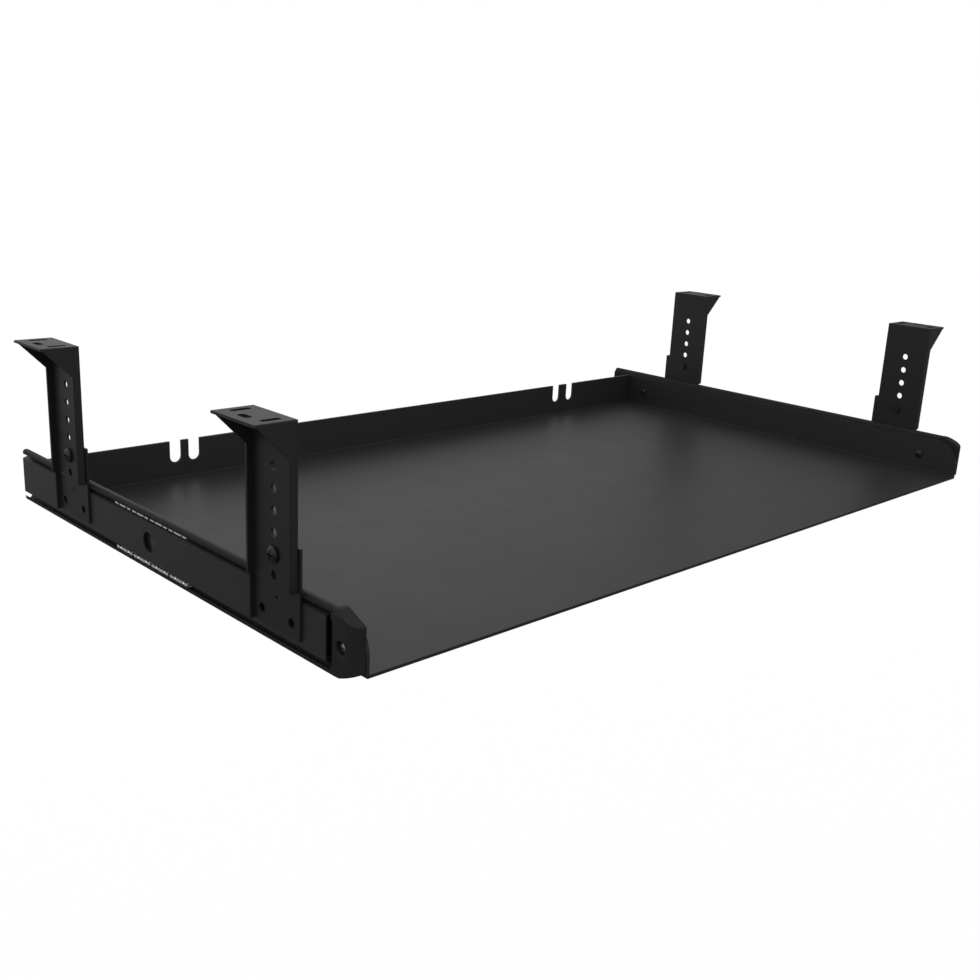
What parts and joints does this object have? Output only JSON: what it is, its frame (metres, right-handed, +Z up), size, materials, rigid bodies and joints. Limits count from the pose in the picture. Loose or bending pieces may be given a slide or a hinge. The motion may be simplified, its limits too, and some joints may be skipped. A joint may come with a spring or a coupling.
{
  "type": "sliding keyboard tray",
  "caption": "Under-desk keyboard tray: folded black steel pan on ball-bearing slides, hung from height-adjustable brackets that screw up into a desk top.",
  "frame": {"origin": "centre of the plane that the four bracket tops share, which is the desk's underside, midway between the slides and between the front and rear brackets", "axes": "+X right, +Y towards the back wall, +Z up; the tray slides out along -Y"},
  "size_m": [0.898, 0.4925, 0.1605],
  "materials": {
    "powder_coat": "satin black powder coat on steel sheet",
    "slide_black": "smooth black e-coat on rolled steel",
    "bright_zinc": "bright zinc plate",
    "chrome_balls": "polished bearing steel",
    "cap_plastic": "moulded black plastic",
    "screw_zinc": "zinc plate",
    "screw_black": "black oxide",
    "bumper_rubber": "matte rubber"
  },
  "bodies": {
    "root": {"slide_rail_left": "slide_black", "slide_rail_right": "slide_black", "upper_bracket_front_left": "powder_coat", "upper_bracket_front_right": "powder_coat", "upper_bracket_rear_left": "powder_coat", "upper_bracket_rear_right": "powder_coat", "lower_bracket_front_left": "powder_coat", "lower_bracket_front_right": "powder_coat", "lower_bracket_rear_left": "powder_coat", "lower_bracket_rear_right": "powder_coat", "height_bolt_front_left": "screw_black", "height_bolt_front_right": "screw_black", "height_bolt_rear_left": "screw_black", "height_bolt_rear_right": "screw_black", "press_nut_front_left": "screw_black", "press_nut_front_right": "screw_black", "press_nut_rear_left": "screw_black", "press_nut_rear_right": "screw_black", "rail_rivets_front_left": "screw_black", "rail_rivets_front_right": "screw_black", "rail_rivets_rear_left": "screw_black", "rail_rivets_rear_right": "screw_black"},
    "tray": {"tray_pan": "powder_coat", "slide_channel_left": "slide_black", "slide_channel_right": "slide_black", "end_cap_left": "cap_plastic", "end_cap_right": "cap_plastic", "end_cap_screw_left": "screw_zinc", "end_cap_screw_right": "screw_zinc", "stop_bumper_left": "bumper_rubber", "stop_bumper_right": "bumper_rubber", "tray_screws_left": "screw_black", "tray_screws_right": "screw_black"},
    "retainer_left": {"ball_retainer_left": "bright_zinc", "retainer_balls_left": "chrome_balls"},
    "retainer_right": {"ball_retainer_right": "bright_zinc", "retainer_balls_right": "chrome_balls"}
  },
  "joints": [
    {"name": "tray_slide", "type": "slide", "parent": "root", "child": "tray", "axis": [0, -1, 0], "range_m": [0, 0.32]},
    {"name": "retainer_left_slide", "type": "slide", "parent": "root", "child": "retainer_left", "axis": [0, -1, 0], "range_m": [0, 0.16]},
    {"name": "retainer_right_slide", "type": "slide", "parent": "root", "child": "retainer_right", "axis": [0, -1, 0], "range_m": [0, 0.16]}
  ],
  "couplings": [
    {"joint": "retainer_left_slide", "follows": "tray_slide", "ratio": 0.5},
    {"joint": "retainer_right_slide", "follows": "tray_slide", "ratio": 0.5}
  ]
}
